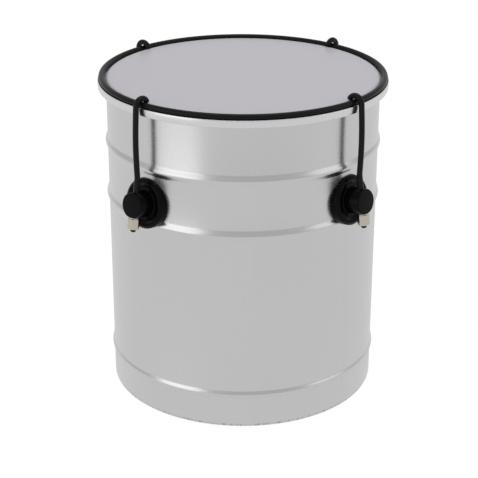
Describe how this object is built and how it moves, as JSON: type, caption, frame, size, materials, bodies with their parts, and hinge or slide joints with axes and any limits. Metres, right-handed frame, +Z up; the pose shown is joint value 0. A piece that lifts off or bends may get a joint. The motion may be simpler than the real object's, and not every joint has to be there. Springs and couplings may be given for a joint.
{
  "type": "hand repique",
  "caption": "Hand-played samba drum: beaded aluminium shell, one film head, flesh hoop and tension ring held down by hooked tuning rods.",
  "frame": {"origin": "on the floor under the centre of the shell, in the plane of the bottom rim", "axes": "+Z up along the shell's axis; +X to the right and -Y to the front as pictured, within three degrees; the tuners stand at 45, 135, 225 and 315 degrees"},
  "size_m": [0.2672, 0.2672, 0.3087],
  "materials": {
    "rolled_aluminium": "bright rolled, fine upright grain",
    "hoop_aluminium": "bright turned",
    "milky_film": "milky, faintly glossy film",
    "black_steel": "black coated, satin",
    "black_moulding": "black moulded, glossy",
    "nickel": "warm nickel plate",
    "zinc": "zinc plate"
  },
  "bodies": {
    "drum": {"shell": "rolled_aluminium", "head_film": "milky_film", "flesh_hoop": "hoop_aluminium", "tension_ring": "black_steel", "lug_front_left": "black_moulding", "nut_washer_front_left": "nickel", "lug_screw_front_left": "zinc", "inside_washer_front_left": "zinc", "lug_front_right": "black_moulding", "nut_washer_front_right": "nickel", "lug_screw_front_right": "zinc", "inside_washer_front_right": "zinc", "lug_back_right": "black_moulding", "nut_washer_back_right": "nickel", "lug_screw_back_right": "zinc", "inside_washer_back_right": "zinc", "lug_back_left": "black_moulding", "nut_washer_back_left": "nickel", "lug_screw_back_left": "zinc", "inside_washer_back_left": "zinc"},
    "rod_front_left": {"hook_rod_front_left": "black_steel"},
    "nut_front_left": {"tuning_nut_front_left": "nickel"},
    "rod_front_right": {"hook_rod_front_right": "black_steel"},
    "nut_front_right": {"tuning_nut_front_right": "nickel"},
    "rod_back_right": {"hook_rod_back_right": "black_steel"},
    "nut_back_right": {"tuning_nut_back_right": "nickel"},
    "rod_back_left": {"hook_rod_back_left": "black_steel"},
    "nut_back_left": {"tuning_nut_back_left": "nickel"}
  },
  "joints": [
    {"name": "nut_turn_front_left", "type": "hinge", "parent": "drum", "child": "nut_front_left", "pos_m": [-0.10165, -0.10165, 0.19466], "axis": [-0.1021, -0.1021, -0.9895], "range_deg": [0, 1801]},
    {"name": "rod_lift_front_left", "type": "slide", "parent": "drum", "child": "rod_front_left", "axis": [0.1021, 0.1021, 0.9895], "range_m": [0, 0.004]},
    {"name": "nut_turn_front_right", "type": "hinge", "parent": "drum", "child": "nut_front_right", "pos_m": [0.10165, -0.10165, 0.19466], "axis": [0.1021, -0.1021, -0.9895], "range_deg": [0, 1801]},
    {"name": "rod_lift_front_right", "type": "slide", "parent": "drum", "child": "rod_front_right", "axis": [-0.1021, 0.1021, 0.9895], "range_m": [0, 0.004]},
    {"name": "nut_turn_back_right", "type": "hinge", "parent": "drum", "child": "nut_back_right", "pos_m": [0.10165, 0.10165, 0.19466], "axis": [0.1021, 0.1021, -0.9895], "range_deg": [0, 1801]},
    {"name": "rod_lift_back_right", "type": "slide", "parent": "drum", "child": "rod_back_right", "axis": [-0.1021, -0.1021, 0.9895], "range_m": [0, 0.004]},
    {"name": "nut_turn_back_left", "type": "hinge", "parent": "drum", "child": "nut_back_left", "pos_m": [-0.10165, 0.10165, 0.19466], "axis": [-0.1021, 0.1021, -0.9895], "range_deg": [0, 1801]},
    {"name": "rod_lift_back_left", "type": "slide", "parent": "drum", "child": "rod_back_left", "axis": [0.1021, -0.1021, 0.9895], "range_m": [0, 0.004]}
  ],
  "couplings": [
    {"joint": "nut_turn_front_left", "follows": "rod_lift_front_left", "rad_per_m": 7854},
    {"joint": "nut_turn_front_right", "follows": "rod_lift_front_right", "rad_per_m": 7854},
    {"joint": "nut_turn_back_right", "follows": "rod_lift_back_right", "rad_per_m": 7854},
    {"joint": "nut_turn_back_left", "follows": "rod_lift_back_left", "rad_per_m": 7854}
  ]
}
